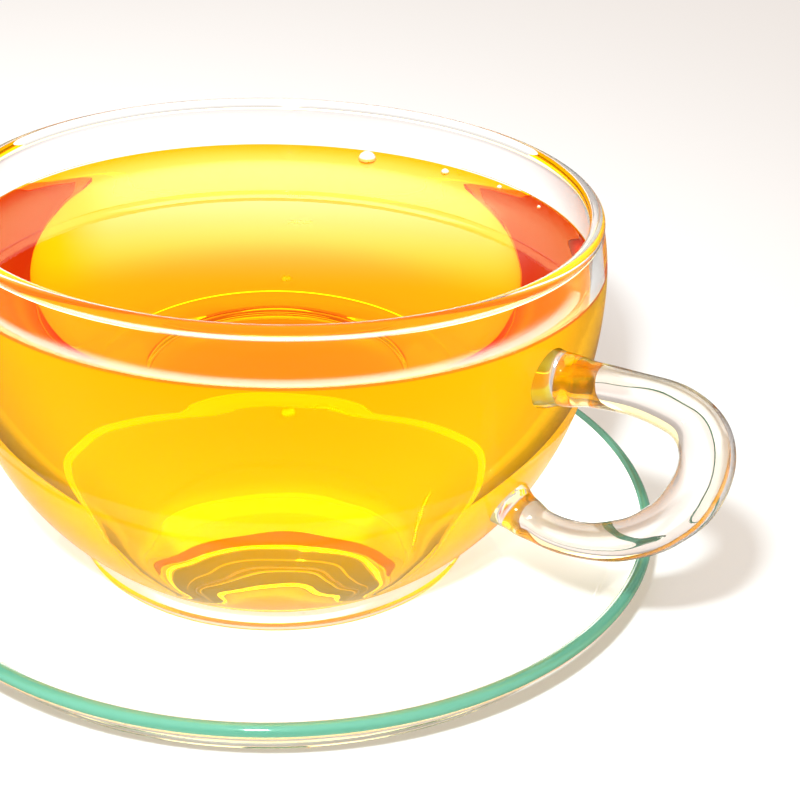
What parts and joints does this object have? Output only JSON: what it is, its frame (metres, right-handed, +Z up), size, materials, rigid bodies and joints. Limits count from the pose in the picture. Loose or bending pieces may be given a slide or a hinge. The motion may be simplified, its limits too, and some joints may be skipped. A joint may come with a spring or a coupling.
{
  "type": "glass cup of tea on a saucer",
  "caption": "Clear round glass teacup with a looped glass handle, filled with amber tea, standing on a shallow clear glass saucer with a green-tinted edge.",
  "frame": {"origin": "middle of the saucer's flat underside", "axes": "+Z up along the axis of the cup and the saucer, +X towards the handle"},
  "size_m": [0.1512, 0.1336, 0.0642],
  "materials": {
    "cup_glass": "clear and smooth",
    "tea": "clear amber liquid",
    "saucer_glass": "clear and smooth, green at the edge"
  },
  "bodies": {
    "root": {"cup": "cup_glass", "tea": "tea", "saucer": "saucer_glass"}
  },
  "joints": []
}
